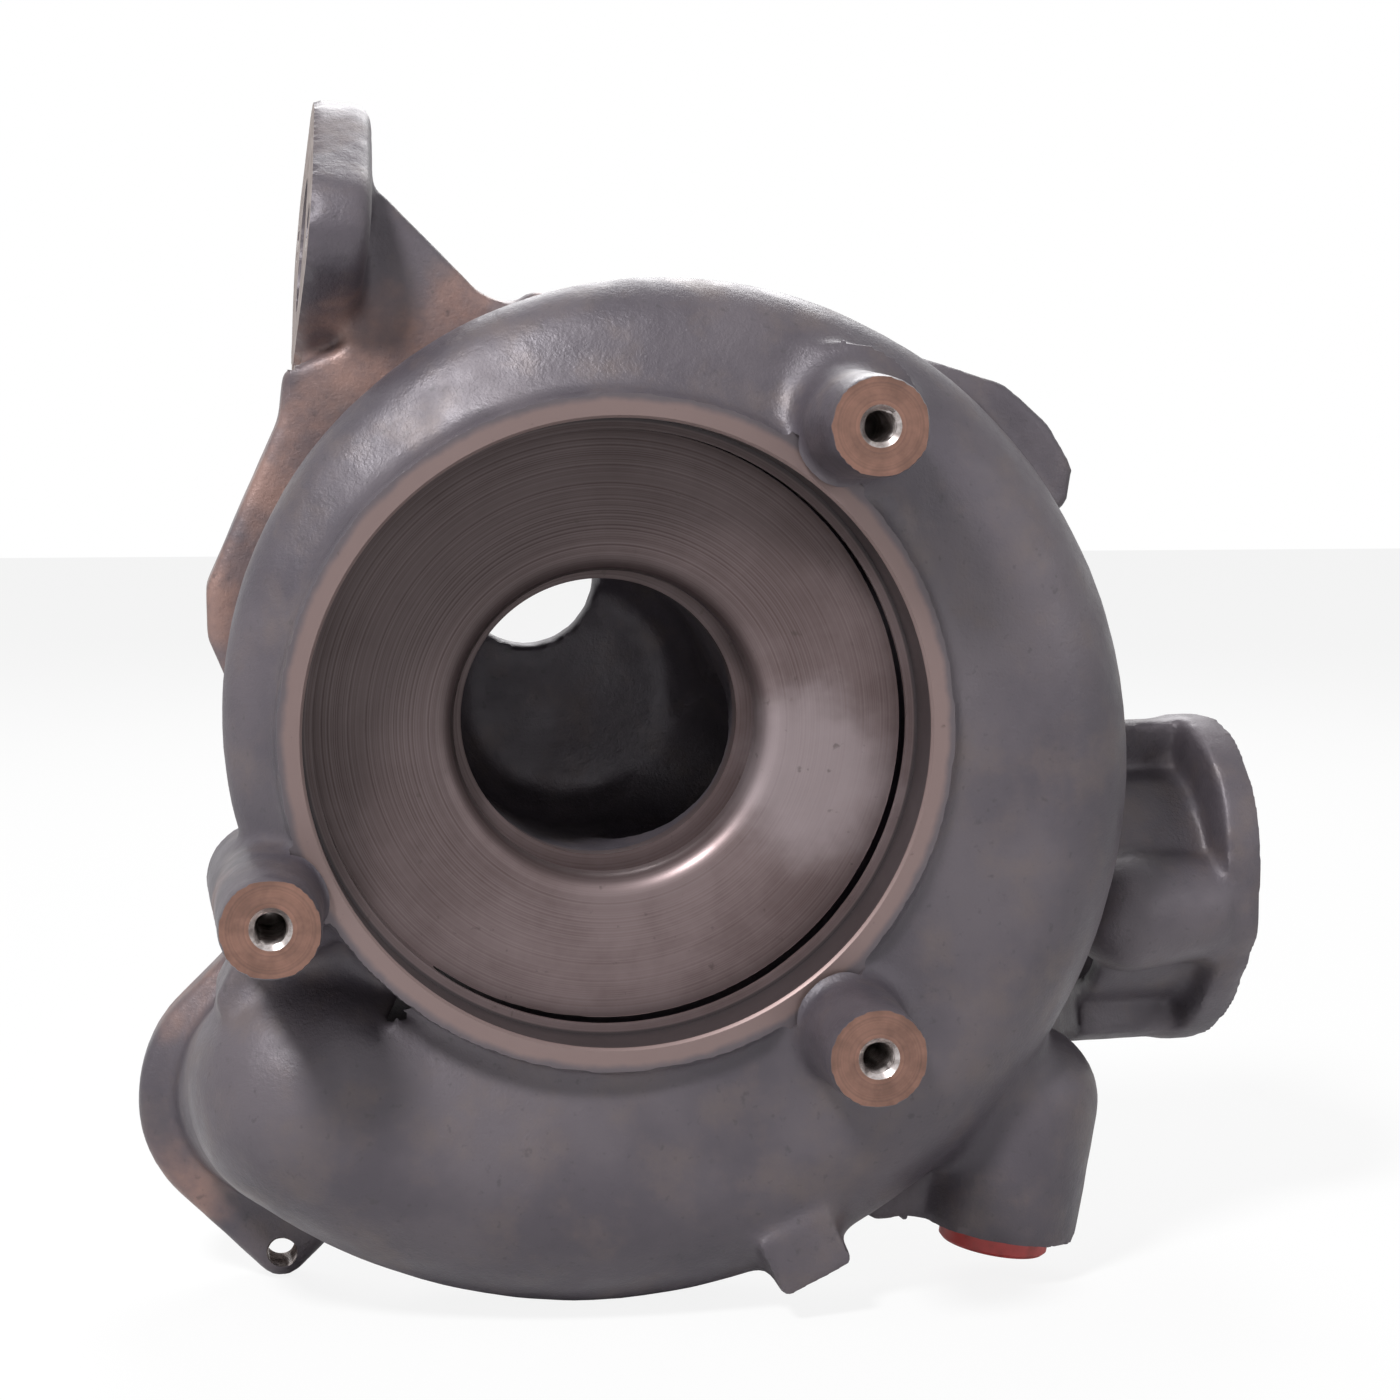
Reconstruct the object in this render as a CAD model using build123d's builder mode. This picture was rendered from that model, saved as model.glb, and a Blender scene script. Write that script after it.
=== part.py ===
"""Volute casing of an engine coolant pump: one grey iron casting and the plug in its lower port.

The pump axis is the Y axis, +Y points into the casting, +Z is up. The origin is on the pump
axis in the machined front rim. Lengths are millimetres, angles are degrees. A turn is the
angle round the pump axis in the sense in which the scroll grows, from 0 at the left (-X)
over the top (90) to the right (180) and the bottom (270).
"""
from build123d import *
from math import asin, atan2, cos, hypot, pi, radians, sin, tan
import os

# Pump chamber and rim
bore_radius = 70.0
rim_width = 5.6
rim_height = 2.5
register_depth = 14.0
slot_width = 8.0
register_width = 2.5
disc_thickness = 7.0
edge_break = 0.8

# Suction eye and the chamber behind it
eye_radius = 35.0
eye_lip_radius = 6.0
eye_land = 3.0
recess_radius = 38.5
recess_width = 8.0
ring_radius = 32.4
ring_width = 5.0
ring_step = 0.8
suction_radius = 34.0
suction_wall = 7.0
suction_end = 104.0
suction_round = 8.0
hub_wall = 8.5
hub_width = 8.0

# Scroll
casting_wall = 5.5
scroll_start = -36.0
scroll_end = 308.0
scroll_stations = 14
start_reach = 87.0
scroll_growth = 49.6
growth_span = 270.0
linear_share = 0.25
start_throat = 5.0
throat_growth = 20.5
throat_span = 270.0
core_start = -24.0
mouth_centre = 21.0
mouth_lip = 1.0
drift_per_throat = 0.63
knee_shrink = 2.0
shrink_from = 285.0
web_root_radius = 58.0
web_front_radius = 72.0
web_drop = 13.0
web_drop_from = 232.0

# Discharge elbow and its flange
outlet_x = -74.5
outlet_z = -92.5
outlet_face = 70.0
outlet_bore = 21.5
outlet_tube = 26.0
outlet_hub_radius = 33.3
outlet_thickness = 12.0
outlet_lug_radius = 6.5
outlet_hole_spacing = 76.0
outlet_rounding = 3.0
ball_margin = 0.3

# Tapped bosses round the mouth
boss_gap = 10.0
boss_turns = [126.8, 232.4, -24.7]
boss_feet = [8.0, 6.0, 38.0]
boss_flares = [8.0, 8.0, 0.0]
boss_height = 28.0
boss_radius = 11.0
boss_draft = 2.0

# Suction branch, its barrel and its flange, which is turned a little to the back
branch_depth = 80.0
branch_bore = 24.0
branch_rise = -8.0
flange_x = 159.0
flange_z = -48.5
flange_turn = 6.5
flange_length = 89.2
flange_height = 74.4
flange_lug_turn = 31.0
flange_screw_circle = 32.0
flange_screw_turns = [6, 96, 186, 276]
flange_tap_depth = 16.0
flange_thickness = 9.0
flange_bore = 25.0
barrel_undersize = 1.0
barrel_length = 36.0
pockets = [(14, 84), (112, 160), (194, 264)]
dome_radius = 13.5
dome_drop = 2.8
dome_forward = 26.0
dome_length = 29.0

# Neck and flange at the upper left, leaning a little
neck_flange_x = -66.4
neck_flange_depth = 70.0
neck_flange_z = 112.0
neck_lean = 5.3
neck_hub_radius = 31.5
neck_plate = 13.6
neck_rounding = 4.0
neck_lug_radius = 14.0
neck_hole_spacing = 68.0
neck_hole_radius = 4.5
neck_bore = 13.0
neck_tube = 17.0
neck_root = 26.0
neck_root_x = -4.0
neck_root_z = 34.0
neck_drop = 6.0

# Webs behind the scroll at the left
web_depth = 42.0
web_width = 28.0
neck_web = [(-56, 117), (-51, 122), (-27, 98), (-20, 95.5), (2, 98), (2, 75), (-30, 50), (-60, 60), (-70, 79), (-58, 84)]
side_web = [(-57, 86), (-72, 80), (-73, 69), (-79, 56), (-84, 45), (-90, 31), (-90, 19), (-84, 5), (-40, 0), (-30, 60)]
web_corner = 3.0
tongue_web = [(-52, -48), (-78, -38), (-90, -62), (-66, -88), (-40, -72)]
tongue_depth = 22.0
tongue_width = 24.0
port_web = [(52, -112), (66, -122.5), (80, -121.5), (94, -112), (90, -90), (60, -95)]
port_web_depth = 34.0
port_web_width = 14.0

# Lugs on the outside of the scroll
ear = [(69, 85.5), (95, 77.5), (106, 68), (112, 58), (110.5, 49), (98, 42), (72, 60)]
ear_corner = 4.0
ear_front = 33.0
ear_width = 25.0
lug_x = 43.3
lug_z = -120.5
lug_length = 18.2
lug_height = 14.6
lug_angle = 26.0
lug_front = 5.0
lug_width = 30.0
nub_x = -14.2
nub_z = 94.5
nub_depth = 38.0
nub_radius = 4.0
nub_length = 12.0

# Rear port, seen through the eye
rear_port_x = -10.0
rear_port_z = 28.5
rear_port_radius = 17.3
rear_port_wall = 6.5
rear_face = 112.0

# Lower right port and its plug
port_x = 96.7
port_depth = 38.0
port_z = -125.2
port_tilt = 9.5
port_boss_radius = 19.3
port_boss_length = 31.0
port_bore = 11.0
port_bore_depth = 22.0
cross_drill = 6.5
cross_drill_turn = 230.0
plug_clearance = 0.25
plug_head_radius = 13.2
plug_head = 5.0
plug_stub = 16.0
plug_wall = 2.2

# Tapped holes, modelled at the size of their core drill
tap_radius = 3.4
mouth_bevel = 0.8
tap_depth = 24.0


def radial_plane(turn):
    """Plane through the pump axis at this turn: local x is the radius, local y the depth."""
    angle = radians(180 - turn)
    return Plane(origin=(0, 0, 0), x_dir=(cos(angle), 0, sin(angle)), z_dir=(-sin(angle), 0, cos(angle)))


def front_plane(depth):
    """Plane across the pump axis, seen from the front: local x is X, local y is Z."""
    return Plane(origin=(0, depth, 0), x_dir=(1, 0, 0), z_dir=(0, -1, 0))


def back_plane(x, depth, z):
    """Plane across the pump axis at this point, facing backwards."""
    return Plane(origin=(x, depth, z), x_dir=(0, 0, 1), z_dir=(0, 1, 0))


def on_circle(turn, radius, depth):
    """Point at this turn, radius and depth."""
    return radial_plane(turn).from_local_coords(Vector(radius, depth, 0))


def reach(turn):
    """Outer radius of the scroll: a spiral that grows fastest on the right."""
    share = turn / growth_span
    eased = (1 - cos(pi * share)) / 2
    return start_reach + scroll_growth * (linear_share * share + (1 - linear_share) * eased)


def throat(turn):
    """Radius of the water passage in the scroll."""
    grown = start_throat + throat_growth * min(turn, shrink_from) / throat_span
    past = max(0.0, (turn - shrink_from) / (scroll_end - shrink_from))
    return grown - knee_shrink * past


def throat_centre(turn):
    """Radius and depth of the centre of the water passage."""
    radius = reach(turn) - casting_wall - throat(turn)
    depth = mouth_centre + drift_per_throat * (throat(turn) - start_throat)
    return radius, depth


def touch_point(start, centre, radius, side):
    """Where the line from start touches the circle, on the front (-1) or back (1) side."""
    along, across = centre[0] - start[0], centre[1] - start[1]
    distance = hypot(along, across)
    heading = atan2(across, along) + side * asin(radius / distance)
    length = (distance**2 - radius**2) ** 0.5
    return start[0] + length * cos(heading), start[1] + length * sin(heading)


def scroll_section(turn, radius, front, back, tail):
    """Face with a round outer end, straight sides to front and back, and a tail in the chamber."""
    centre = throat_centre(turn)
    front_touch = touch_point(front, centre, radius, -1)
    back_touch = touch_point(back, centre, radius, 1)
    front_angle = atan2(front_touch[1] - centre[1], front_touch[0] - centre[0])
    back_angle = atan2(back_touch[1] - centre[1], back_touch[0] - centre[0])
    middle = (front_angle + back_angle) / 2
    outermost = (centre[0] + radius * cos(middle), centre[1] + radius * sin(middle))
    with BuildSketch(radial_plane(turn)) as section:
        with BuildLine():
            Line(front, front_touch)
            ThreePointArc(front_touch, outermost, back_touch)
            Line(back_touch, back)
            Polyline(back, tail, front)
        make_face()
    return section.sketch


def stations(first, last, count):
    """Evenly spaced turns."""
    return [first + (last - first) * index / (count - 1) for index in range(count)]


def outer_section(turn):
    """Outside of the scroll: its web drops away from the rim before the elbow."""
    past = max(0.0, min(1.0, (turn - web_drop_from) / (scroll_end - web_drop_from)))
    front = (web_front_radius, rim_height + web_drop * past**2)
    back = (web_root_radius, disc_face + disc_thickness - 1)
    tail = (web_root_radius, front[1] + 3)
    return scroll_section(turn, throat(turn) + casting_wall, front, back, tail)


def core_section(turn):
    """Water passage, open to the chamber between the register and the disc."""
    front = (disc_radius + 0.5, register_depth + mouth_lip)
    back = (disc_radius, disc_face)
    tail = (disc_radius - slot_width, (register_depth + disc_face) / 2)
    return scroll_section(turn, throat(turn), front, back, tail)


def oval(plane, hub, lug, spacing):
    """Outline of a two-bolt flange, its bolts along the plane's local x."""
    with BuildSketch(plane) as outline:
        Circle(hub)
        with Locations((-spacing / 2, 0), (spacing / 2, 0)):
            Circle(lug)
        make_hull()
    return outline.sketch


def web(outline, depth, width, corner):
    """Add a flat web behind this depth, its outline given as corners in X and Z."""
    with BuildSketch(front_plane(depth)) as shape:
        with BuildLine():
            Polyline(*outline, close=True)
        make_face()
        fillet(shape.vertices(), corner)
    extrude(shape.sketch, amount=-width)


def disc(centre, normal, radius):
    """Round face across the normal."""
    with BuildSketch(Plane(origin=centre, z_dir=normal)) as outline:
        Circle(radius)
    return outline.sketch


def rod(start, end, radius):
    """Add a round rod from start to end."""
    run = end - start
    extrude(disc(start, run, radius), amount=run.length)


def bevelled_holes(planes, radius, depth):
    """Cut a hole with a bevelled mouth down from each plane."""
    with Locations(*planes):
        CounterSinkHole(radius=radius, counter_sink_radius=radius + mouth_bevel, depth=depth)


# Places that follow from the driving dimensions
rim_radius = bore_radius + rim_width
disc_radius = bore_radius - register_width
boss_circle = rim_radius + boss_gap
disc_face = register_depth + slot_width
recess_start = disc_face + eye_lip_radius + eye_land
ring_start = recess_start + recess_width
ring_end = ring_start + ring_width
hub_radius = recess_radius + hub_wall
hub_end = ring_start + hub_width
knee_radius, knee_depth = throat_centre(scroll_end)
knee = on_circle(scroll_end, knee_radius, knee_depth)
backwards = Vector(0, 1, 0)
outlet_plane = back_plane(outlet_x, outlet_face, outlet_z)
outlet_centre = Vector(outlet_x, outlet_face, outlet_z)
lean = radians(neck_lean)
neck_normal = Vector(-cos(lean), 0, sin(lean))
neck_face_centre = Vector(neck_flange_x, neck_flange_depth, neck_flange_z)
neck_plane = Plane(origin=neck_face_centre, x_dir=(0, 1, 0), z_dir=neck_normal)
neck_back = neck_face_centre - neck_normal * neck_plate / 2 - Vector(0, 0, neck_drop)
neck_foot = Vector(neck_root_x, neck_flange_depth, neck_root_z)
branch_turn = radians(flange_turn)
branch_normal = Vector(cos(branch_turn), sin(branch_turn), 0)
branch_face_centre = Vector(flange_x, branch_depth, flange_z)
branch_plane = Plane(origin=branch_face_centre, x_dir=(0, 0, 1), z_dir=branch_normal)
lug_turn = radians(flange_lug_turn)
lug_direction = Vector(0, 0, cos(lug_turn)) + branch_normal.cross(Vector(0, 0, 1)) * sin(lug_turn)
lug_plane = Plane(origin=branch_face_centre, x_dir=lug_direction, z_dir=branch_normal)
branch_elbow = branch_face_centre - branch_normal * barrel_length
branch_start = Vector(0, branch_depth, branch_rise)
tilt = radians(port_tilt)
port_down = Vector(-sin(tilt), 0, -cos(tilt))
port_face_centre = Vector(port_x, port_depth, port_z)
port_plane = Plane(origin=port_face_centre, x_dir=(0, 1, 0), z_dir=port_down)
drill_radius, drill_depth = throat_centre(cross_drill_turn)
drill_end = on_circle(cross_drill_turn, drill_radius, drill_depth)
rear_port_plane = back_plane(rear_port_x, rear_face, rear_port_z)
outlet_outline = oval(outlet_plane, outlet_hub_radius, outlet_lug_radius, outlet_hole_spacing)
neck_outline = oval(neck_plane, neck_hub_radius, neck_lug_radius, neck_hole_spacing)

# The two oval flanges, rounded at the back
with BuildPart() as outlet_flange:
    extrude(outlet_outline, amount=-outlet_thickness)
    fillet(outlet_flange.faces().sort_by(Axis.Y)[0].edges(), outlet_rounding)
with BuildPart() as neck_flange:
    extrude(neck_outline, amount=-neck_plate)
    fillet(neck_flange.faces().filter_by(neck_plane).sort_by(Axis.X)[-1].edges(), neck_rounding)

# Outside of the casting
with BuildPart() as pattern:
    # Chamber, hub and suction chamber are turned round the pump axis
    chamber_back = disc_face + disc_thickness
    suction_outer = suction_radius + suction_wall
    rear_wall = suction_end + suction_wall
    with BuildSketch(Plane.XY):
        with BuildLine():
            Polyline(
                (0, 0),
                (rim_radius - edge_break, 0),
                (rim_radius, edge_break),
                (rim_radius, chamber_back - 3),
                (disc_radius, chamber_back + 3),
                (hub_radius, chamber_back + 5),
                (hub_radius, hub_end),
                (suction_outer, hub_end + suction_round),
                (suction_outer, rear_wall - suction_round),
                (suction_outer - suction_round, rear_wall),
                (0, rear_wall),
                close=True,
            )
        make_face()
    revolve(axis=Axis.Y)

    # Scroll
    loft([outer_section(turn) for turn in stations(scroll_start, scroll_end, scroll_stations)])

    # Discharge elbow: a ball at the knee and a tapering tube to the flange
    tube_start = throat(scroll_end) + casting_wall
    with Locations(knee):
        Sphere(tube_start + ball_margin)
    tube_end = outlet_centre - backwards * outlet_thickness / 2
    loft([disc(knee, backwards, tube_start), disc(tube_end, backwards, outlet_tube)])
    add(outlet_flange.part)

    # Webs: behind the neck, at the side of the scroll, at its tongue and beside the lower port
    web(neck_web, web_depth, web_width, web_corner)
    web(side_web, web_depth, web_width / 2, web_corner)
    web(tongue_web, tongue_depth, tongue_width, web_corner)
    web(port_web, port_web_depth, port_web_width, web_corner)

    # Neck and flange at the upper left, the mating face cleared
    neck_run = neck_foot - neck_back
    loft([disc(neck_back, neck_run, neck_tube), disc(neck_foot, neck_run, neck_root)])
    extrude(neck_outline, amount=neck_plate, mode=Mode.SUBTRACT)
    add(neck_flange.part)

    # Tapped bosses with draft, two of them with a flared foot on the scroll
    for turn, foot, flare in zip(boss_turns, boss_feet, boss_flares):
        place = on_circle(turn, boss_circle, 0)
        foot_radius = boss_radius + (foot + boss_height) * tan(radians(boss_draft))
        with BuildSketch(Plane(origin=place, x_dir=(1, 0, 0), z_dir=(0, 0, 1))):
            with BuildLine():
                Polyline((0, foot + 2), (0, -boss_height), (boss_radius, -boss_height), (foot_radius, foot - flare))
                if flare > 0:
                    RadiusArc((foot_radius, foot - flare), (foot_radius + flare, foot), flare)
                Line((foot_radius + flare, foot), (0, foot + 2))
            make_face()
        revolve(axis=Axis(place, (0, 1, 0)))

    # Ear at the upper right, square lug at the bottom and a small nub at the top
    web(ear, ear_front, ear_width, ear_corner)
    with BuildSketch(front_plane(lug_front)):
        with Locations((lug_x, lug_z)):
            Rectangle(lug_length, lug_height, rotation=lug_angle)
    extrude(amount=-lug_width)
    rod(Vector(nub_x, nub_depth, nub_z), Vector(nub_x, nub_depth + nub_length, nub_z), nub_radius)

    # Suction branch with its barrel, the pocket in the barrel, the flange and the domed screw boss
    rod(branch_start, branch_elbow, branch_bore + casting_wall)
    barrel_depth = barrel_length - flange_thickness
    with BuildSketch(lug_plane.offset(-flange_thickness)):
        Ellipse(flange_length / 2 - barrel_undersize, flange_height / 2 - barrel_undersize)
    extrude(amount=-barrel_depth)
    for first, last in pockets:
        far = flange_length
        corners = [(far * cos(radians(angle)), far * sin(radians(angle))) for angle in (first, last)]
        with BuildSketch(branch_plane.offset(-flange_thickness)):
            with BuildLine():
                Polyline((0, 0), *corners, close=True)
            make_face()
            Circle(flange_bore + casting_wall, mode=Mode.SUBTRACT)
        extrude(amount=-barrel_depth, mode=Mode.SUBTRACT)
    with BuildSketch(lug_plane):
        Ellipse(flange_length / 2, flange_height / 2)
    extrude(amount=-flange_thickness)
    dome_plane = Plane(origin=branch_plane.from_local_coords(Vector(-dome_drop, dome_forward, 0)),
                       x_dir=(0, 0, 1), z_dir=branch_normal)
    with BuildSketch(dome_plane):
        Circle(dome_radius)
    extrude(amount=-dome_length)
    with Locations(dome_plane.offset(-dome_length)):
        Sphere(dome_radius)

    # Rear port boss
    with BuildSketch(rear_port_plane):
        Circle(rear_port_radius + rear_port_wall)
    extrude(amount=branch_depth - rear_face)

    # Lower right port boss with a domed top
    with BuildSketch(port_plane):
        Circle(port_boss_radius)
    extrude(amount=-port_boss_length)
    with Locations(port_plane.offset(-port_boss_length)):
        Sphere(port_boss_radius)

# Water passages, as the sand cores would leave them
with BuildPart() as core:
    loft([core_section(turn) for turn in stations(core_start, scroll_end, scroll_stations)])
    with Locations(knee):
        Sphere(throat(scroll_end) + ball_margin)
    loft([disc(knee, backwards, throat(scroll_end)), disc(outlet_centre + backwards, backwards, outlet_bore)])
    rod(branch_start, branch_elbow, branch_bore)
    rod(branch_elbow, branch_face_centre + branch_normal, flange_bore)
    rod(neck_face_centre + neck_normal, neck_face_centre - neck_normal * neck_plate / 2, neck_bore)
    with Locations(neck_back):
        Sphere(neck_bore)
    rod(neck_back, neck_foot, neck_bore)
    rod(Vector(rear_port_x, branch_depth, rear_port_z), Vector(rear_port_x, rear_face + 1, rear_port_z),
        rear_port_radius)

# The casting, with its machined faces and bores
with BuildPart() as volute_casing:
    add(pattern.part)
    add(core.part, mode=Mode.SUBTRACT)

    # Chamber, disc with the rounded eye, recess, ring and suction chamber
    lip_start = eye_radius + eye_lip_radius
    lip_end = disc_face + eye_lip_radius
    step_radius = ring_radius + ring_step
    with BuildSketch(Plane.XY):
        with BuildLine():
            Polyline(
                (0, -1),
                (bore_radius, -1),
                (bore_radius, register_depth),
                (disc_radius, register_depth),
                (disc_radius, disc_face),
                (lip_start, disc_face),
            )
            RadiusArc((lip_start, disc_face), (eye_radius, lip_end), -eye_lip_radius)
            Polyline(
                (eye_radius, lip_end),
                (eye_radius, recess_start),
                (recess_radius, recess_start),
                (recess_radius, ring_start),
                (ring_radius, ring_start),
                (ring_radius, ring_end),
                (step_radius, ring_end),
                (step_radius, ring_end + 2),
                (suction_radius, ring_end + 2),
                (suction_radius, suction_end - suction_round),
                (suction_radius - suction_round, suction_end),
                (0, suction_end),
                (0, -1),
            )
        make_face()
    revolve(axis=Axis.Y, mode=Mode.SUBTRACT)

    # Tapped holes in the bosses and flanges
    boss_faces = [on_circle(turn, boss_circle, -boss_height) for turn in boss_turns]
    bevelled_holes([Plane(origin=centre, z_dir=(0, -1, 0)) for centre in boss_faces], tap_radius, tap_depth)
    half_outlet = Vector(0, 0, outlet_hole_spacing / 2)
    outlet_holes = [outlet_centre + half_outlet, outlet_centre - half_outlet]
    outlet_drills = [Plane(origin=centre, z_dir=backwards) for centre in outlet_holes]
    bevelled_holes(outlet_drills, tap_radius, outlet_thickness + 1)
    half_neck = Vector(0, neck_hole_spacing / 2, 0)
    neck_holes = [neck_face_centre + half_neck, neck_face_centre - half_neck]
    neck_drills = [Plane(origin=centre, z_dir=neck_normal) for centre in neck_holes]
    bevelled_holes(neck_drills, neck_hole_radius, neck_plate + 1)
    screw_angles = [radians(angle) for angle in flange_screw_turns]
    screw_places = [flange_screw_circle * Vector(cos(angle), sin(angle), 0) for angle in screw_angles]
    flange_holes = [branch_plane.from_local_coords(place) for place in screw_places]
    flange_drills = [Plane(origin=centre, z_dir=branch_normal) for centre in flange_holes]
    bevelled_holes(flange_drills, tap_radius, flange_tap_depth)

    # Lower right port, drilled through to the scroll
    port_end = port_face_centre - port_down * port_bore_depth
    with BuildSketch(port_plane):
        Circle(port_bore)
    extrude(amount=-port_bore_depth, mode=Mode.SUBTRACT)
    with BuildSketch(Plane(origin=port_end, z_dir=drill_end - port_end)):
        Circle(cross_drill)
    extrude(amount=(drill_end - port_end).length, mode=Mode.SUBTRACT)

# Moulded plug: a hollow stub under a wide head that sits on the port face
with BuildPart() as port_plug:
    stub_radius = port_bore - plug_clearance
    with BuildSketch(port_plane):
        Circle(plug_head_radius)
    extrude(amount=plug_head)
    chamfer(port_plug.faces().filter_by(port_plane).sort_by(Axis.Z)[0].edges(), edge_break)
    with BuildSketch(port_plane):
        Circle(stub_radius)
    extrude(amount=-plug_stub)
    with BuildSketch(port_plane.offset(plug_head)):
        Circle(stub_radius - plug_wall)
    extrude(amount=-(plug_head + plug_stub - plug_wall), mode=Mode.SUBTRACT)

os.makedirs("parts", exist_ok=True)
volute_casing.part.label = "volute_casing"
export_step(volute_casing.part, "parts/volute_casing.step")
port_plug.part.label = "port_plug"
export_step(port_plug.part, "parts/port_plug.step")
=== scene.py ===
from math import cos, pi, radians, sin

import bmesh
import bpy
import numpy as np
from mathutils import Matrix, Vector, noise


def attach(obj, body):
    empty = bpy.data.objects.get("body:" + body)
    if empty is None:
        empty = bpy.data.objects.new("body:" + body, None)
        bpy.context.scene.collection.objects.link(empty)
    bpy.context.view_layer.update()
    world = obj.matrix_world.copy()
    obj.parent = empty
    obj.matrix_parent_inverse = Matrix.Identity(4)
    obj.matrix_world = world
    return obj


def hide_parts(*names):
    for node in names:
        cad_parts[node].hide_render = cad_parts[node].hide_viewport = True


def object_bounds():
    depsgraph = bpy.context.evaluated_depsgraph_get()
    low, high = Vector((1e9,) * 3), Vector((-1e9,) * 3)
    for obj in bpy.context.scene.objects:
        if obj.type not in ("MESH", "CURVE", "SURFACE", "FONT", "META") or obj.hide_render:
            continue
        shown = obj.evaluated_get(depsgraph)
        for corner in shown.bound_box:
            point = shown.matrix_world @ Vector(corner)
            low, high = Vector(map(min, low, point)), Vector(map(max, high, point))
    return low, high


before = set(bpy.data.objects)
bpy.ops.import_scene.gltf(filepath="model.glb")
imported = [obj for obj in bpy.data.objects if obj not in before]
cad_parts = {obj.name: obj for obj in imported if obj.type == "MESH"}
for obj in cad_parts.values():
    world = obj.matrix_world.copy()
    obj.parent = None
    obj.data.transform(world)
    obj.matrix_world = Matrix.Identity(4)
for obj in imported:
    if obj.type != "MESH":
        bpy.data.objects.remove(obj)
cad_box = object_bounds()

# Volute pump casing: a filleted skin stands for the casting and is cut as the machine shop cuts it.
# The pump axis is Y, the open front faces -Y, and the origin is the bore's centre in the rim's face.

# Sizes in metres, repeated from the CAD source
mm = 0.001
bore_radius = 70.0 * mm
rim_radius = 75.6 * mm
register_depth = 14.0 * mm
disc_radius = 67.5 * mm
disc_face = 22.0 * mm
eye_radius = 35.0 * mm
eye_lip = 6.0 * mm
recess_start = 31.0 * mm
recess_radius = 38.5 * mm
ring_start = 39.0 * mm
ring_radius = 32.4 * mm
ring_end = 44.0 * mm
suction_radius = 33.9 * mm
boss_circle = 85.6 * mm
boss_turns = [126.8, 232.4, -24.7]
boss_height = 28.0 * mm
boss_hole_depth = 24.0 * mm
flange_hole_depth = 16.0 * mm
outlet = Vector((-74.5, 70.0, -92.5)) * mm
outlet_hole_reach = 38.0 * mm
neck_face = Vector((-66.4, 70.0, 112.0)) * mm
neck_lean = radians(5.3)
neck_hole_reach = 34.0 * mm
neck_hole_radius = 4.5 * mm
branch_face = Vector((159.0, 80.0, -48.5)) * mm
branch_turn = radians(6.5)
branch_screw_circle = 32.0 * mm
branch_screw_turns = [6, 96, 186, 276]
port_face = Vector((96.7, 38.0, -125.2)) * mm
port_tilt = radians(9.5)
core_drill = 3.4 * mm
thread_major = 4.0 * mm
thread_pitch = 1.25 * mm

# Domed screw boss on the suction barrel, fuller than the solid's
dome_centre = Vector((132.0, 48.5, -51.0)) * mm
dome_radius = 15.0 * mm
dome_root = 0.85
dome_length = 22.0 * mm

# Make of the skin, with places and their reach in millimetres
voxel = 1.3 * mm
skin_triangles = 136000
fillet = 4.2 * mm
stock = 1.0 * mm
hollow_share = 0.9
sharp_share = 0.12
edge_rounds = 3
early_edge_share = 0.45
late_edge_share = 0.07
sharp_places = [((131, 52, -51), 24), ((148, 60, -30), 22), ((104, 40, 62), 16)]
broad_fillets = [
    ((82, 20, -88), 30, 9.0),
    ((60, 18, -104), 22, 9.0),
    ((52, 8, 66), 20, 7.0),
    ((52, 8, -66), 20, 7.0),
    ((-66, 30, -52), 24, 7.0),
    ((-30, 60, 80), 26, 8.0),
]

# Values that fillers, cutters and shading share
sharp_angle = 38
round_sides = 256
above_face = 2.0 * mm
block_thickness = 4.0 * mm

# Directions and the centre of the rim's face
pump_centre = Vector((0, 0, 0))
backwards = Vector((0, 1, 0))
upwards = Vector((0, 0, 1))
neck_normal = Vector((-cos(neck_lean), 0, sin(neck_lean)))
branch_normal = Vector((cos(branch_turn), sin(branch_turn), 0))
port_normal = Vector((-sin(port_tilt), 0, -cos(port_tilt)))


def boss_place(turn):
    """Centre of the boss face at this turn."""
    angle = radians(180 - turn)
    return Vector((boss_circle * cos(angle), -boss_height, boss_circle * sin(angle)))


def basis(normal):
    """Two directions across the normal."""
    side = Vector((0, 0, 1)) if abs(normal.z) < 0.9 else Vector((0, 1, 0))
    first = side.cross(normal).normalized()
    return first, normal.cross(first)


# Making and changing meshes
def new_object(name, points, faces, material=None):
    """Object in the scene, made from points and faces."""
    mesh = bpy.data.meshes.new(name)
    mesh.from_pydata([tuple(point) for point in points], [], faces)
    mesh.validate()
    obj = bpy.data.objects.new(name, mesh)
    bpy.context.scene.collection.objects.link(obj)
    if material:
        mesh.materials.append(material)
    return obj


def outwards(obj):
    """Turn the faces so that they look outwards."""
    shape = bmesh.new()
    shape.from_mesh(obj.data)
    bmesh.ops.recalc_face_normals(shape, faces=shape.faces)
    shape.to_mesh(obj.data)
    shape.free()


def turned(name, start, direction, profile, material=None, sides=96, wave=None):
    """Closed turned piece. The profile is (radius, distance along the direction) and ends on the axis."""
    first, second = basis(direction)
    points = [start + direction * profile[0][1]]
    rings = []
    for radius, along in profile[1:-1]:
        ring = []
        for index in range(sides):
            angle = 2 * pi * index / sides
            grown = radius + (wave(angle, along) if wave else 0.0)
            ring.append(len(points))
            points.append(start + direction * along + (first * cos(angle) + second * sin(angle)) * grown)
        rings.append(ring)
    last = len(points)
    points.append(start + direction * profile[-1][1])
    faces = [(0, rings[0][index - 1], rings[0][index]) for index in range(sides)]
    for near, far in zip(rings, rings[1:]):
        faces += [(near[index], near[index - 1], far[index - 1], far[index]) for index in range(sides)]
    faces += [(last, rings[-1][index], rings[-1][index - 1]) for index in range(sides)]
    obj = new_object(name, points, faces, material)
    outwards(obj)
    return obj


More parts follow.
